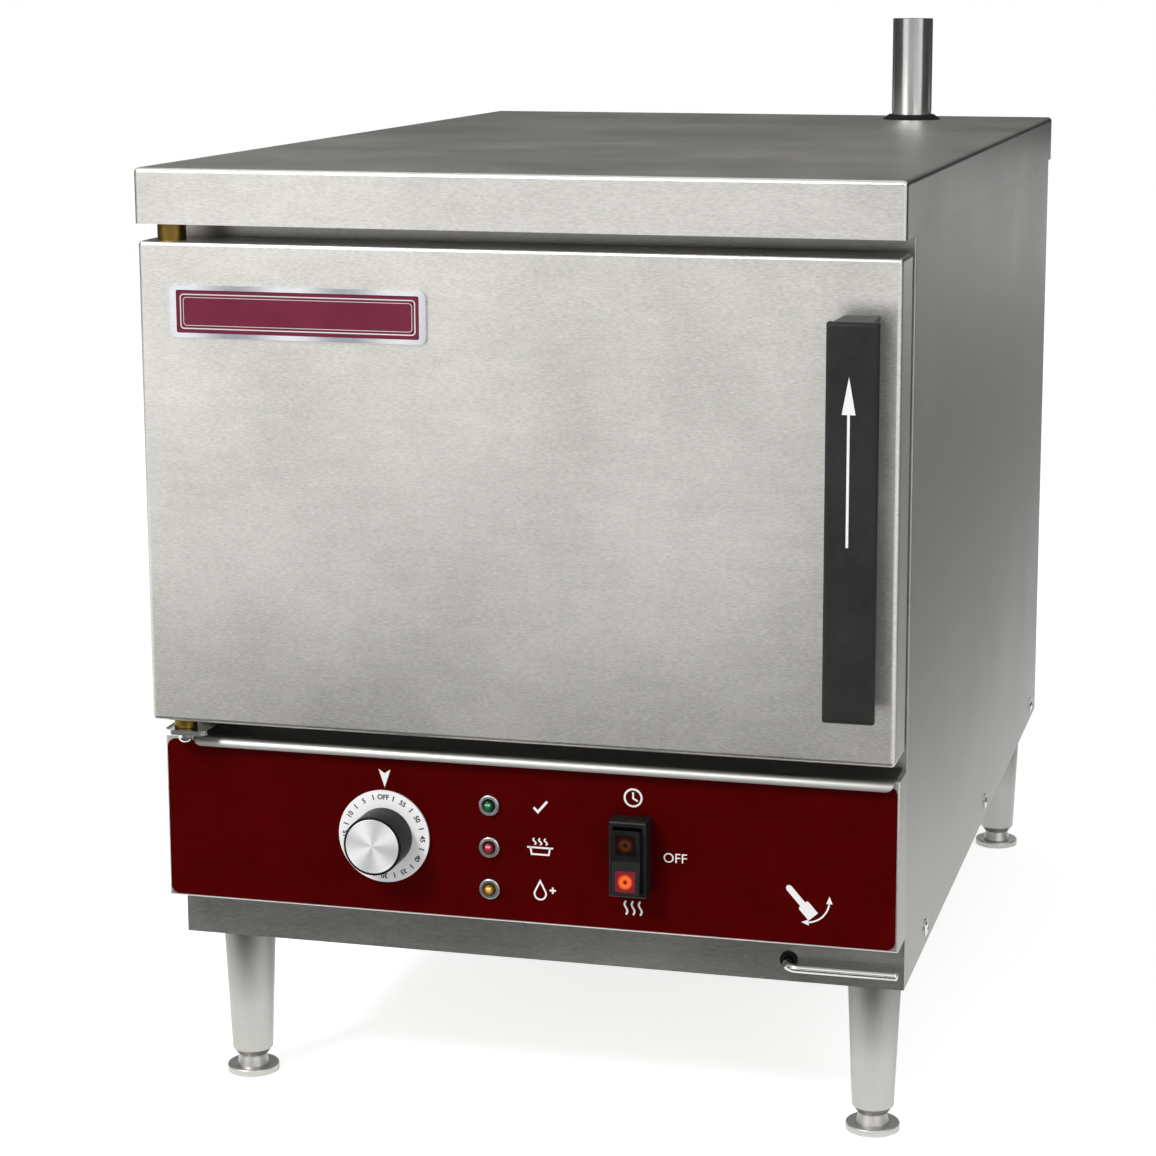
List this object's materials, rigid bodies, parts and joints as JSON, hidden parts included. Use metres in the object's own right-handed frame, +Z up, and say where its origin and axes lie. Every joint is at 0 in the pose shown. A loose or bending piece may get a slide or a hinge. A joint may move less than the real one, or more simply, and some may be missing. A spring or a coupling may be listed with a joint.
{
  "type": "convection steamer",
  "caption": "Countertop convection steamer with a hinged door, lift latch handle, control panel, drain lever, exhaust pipe and levelling feet.",
  "frame": {"origin": "on the floor, under the centre of the object's bounding box", "axes": "+Z up, +Y towards the back, +X to the right as seen from the front"},
  "size_m": [0.4614, 0.804, 0.668],
  "materials": {
    "brushed_stainless": "satin, long brush grain",
    "polished_stainless": "polished",
    "chamber_stainless": "bright mill finish",
    "blanket": "ceramic fibre felt",
    "silicone": "matt",
    "black_rubber": "matt",
    "overlay_maroon": "printed polycarbonate film",
    "badge_maroon": "enamelled",
    "black_handle": "moulded, fine texture",
    "black_plastic": "moulded",
    "dial_white": "white anodised, printed",
    "brass": "satin",
    "lens_green": "transparent moulded",
    "lens_red": "transparent moulded",
    "lens_amber": "transparent moulded",
    "cast_aluminium": "cast",
    "element_sheath": "oxidised sheath",
    "plated_steel": "zinc plated",
    "grey_plastic": "moulded"
  },
  "bodies": {
    "cabinet": {"top_cover": "brushed_stainless", "left_side_panel": "brushed_stainless", "right_side_panel": "brushed_stainless", "back_panel": "brushed_stainless", "base_pan": "brushed_stainless", "front_frame": "brushed_stainless", "cooking_chamber": "chamber_stainless", "chamber_insulation": "blanket", "pan_racks": "chamber_stainless", "fan_baffle": "chamber_stainless", "fan_motor": "black_plastic", "heater_element": "element_sheath", "level_probe": "polished_stainless", "high_limit_thermostat": "plated_steel", "lower_hinge_bracket": "polished_stainless", "upper_hinge_bracket": "brushed_stainless", "hinge_pins": "polished_stainless", "hinge_dome_nut": "polished_stainless", "latch_striker": "plated_steel", "drip_tray": "brushed_stainless", "control_fascia": "brushed_stainless", "control_overlay": "overlay_maroon", "timer_body": "grey_plastic", "pilot_bezels": "polished_stainless", "ready_lens": "lens_green", "cooking_lens": "lens_red", "water_lens": "lens_amber", "switch_housing": "black_plastic", "lever_grommet": "black_rubber", "valve_body": "brass", "drain_inlet_pipe": "brushed_stainless", "drain_outlet_pipe": "brushed_stainless", "exhaust_pipe": "brushed_stainless", "vent_elbow": "brushed_stainless", "pipe_collar": "black_rubber", "legs": "brushed_stainless", "panel_screws": "polished_stainless", "power_gland": "grey_plastic", "contactor": "grey_plastic"},
    "door": {"door_shell": "brushed_stainless", "door_inner_panel": "chamber_stainless", "door_insulation": "blanket", "door_gasket": "silicone", "door_bushings": "brass", "badge_rim": "polished_stainless", "badge_plate": "badge_maroon"},
    "handle": {"door_handle": "black_handle", "latch_slide": "plated_steel"},
    "timer_knob": {"timer_shaft": "plated_steel", "timer_dial": "dial_white", "timer_knob": "black_plastic"},
    "rocker": {"switch_rocker": "black_plastic"},
    "drain_lever": {"drain_lever": "polished_stainless", "valve_ball": "polished_stainless"},
    "fan": {"fan_wheel": "cast_aluminium", "fan_shaft": "polished_stainless"},
    "foot_front_left": {"foot_front_left": "brushed_stainless"},
    "foot_front_right": {"foot_front_right": "brushed_stainless"},
    "foot_rear_left": {"foot_rear_left": "brushed_stainless"},
    "foot_rear_right": {"foot_rear_right": "brushed_stainless"}
  },
  "joints": [
    {"name": "door_hinge", "type": "hinge", "parent": "cabinet", "child": "door", "pos_m": [-0.211, -0.359, 0.401], "axis": [0, 0, -1], "range_deg": [0, 170]},
    {"name": "handle_lift", "type": "slide", "parent": "door", "child": "handle", "axis": [0, 0, 1], "range_m": [0, 0.018]},
    {"name": "timer_turn", "type": "hinge", "parent": "cabinet", "child": "timer_knob", "pos_m": [-0.0865, -0.3513, 0.187], "axis": [0, 1, 0], "range_deg": [0, 330]},
    {"name": "rocker_tip", "type": "hinge", "parent": "cabinet", "child": "rocker", "pos_m": [0.069, -0.3595, 0.1873], "axis": [-1, 0, 0], "range_deg": [-7.6, 7.6]},
    {"name": "drain_turn", "type": "hinge", "parent": "cabinet", "child": "drain_lever", "pos_m": [0.1587, -0.154, 0.1195], "axis": [0, 1, 0], "range_deg": [0, 90]},
    {"name": "fan_spin", "type": "hinge", "parent": "cabinet", "child": "fan", "pos_m": [0, 0.2765, 0.415], "axis": [0, 1, 0], "continuous": true},
    {"name": "foot_front_left_screw", "type": "slide", "parent": "cabinet", "child": "foot_front_left", "axis": [0, 0, -1], "range_m": [0, 0.02]},
    {"name": "foot_front_right_screw", "type": "slide", "parent": "cabinet", "child": "foot_front_right", "axis": [0, 0, -1], "range_m": [0, 0.02]},
    {"name": "foot_rear_left_screw", "type": "slide", "parent": "cabinet", "child": "foot_rear_left", "axis": [0, 0, -1], "range_m": [0, 0.02]},
    {"name": "foot_rear_right_screw", "type": "slide", "parent": "cabinet", "child": "foot_rear_right", "axis": [0, 0, -1], "range_m": [0, 0.02]}
  ]
}
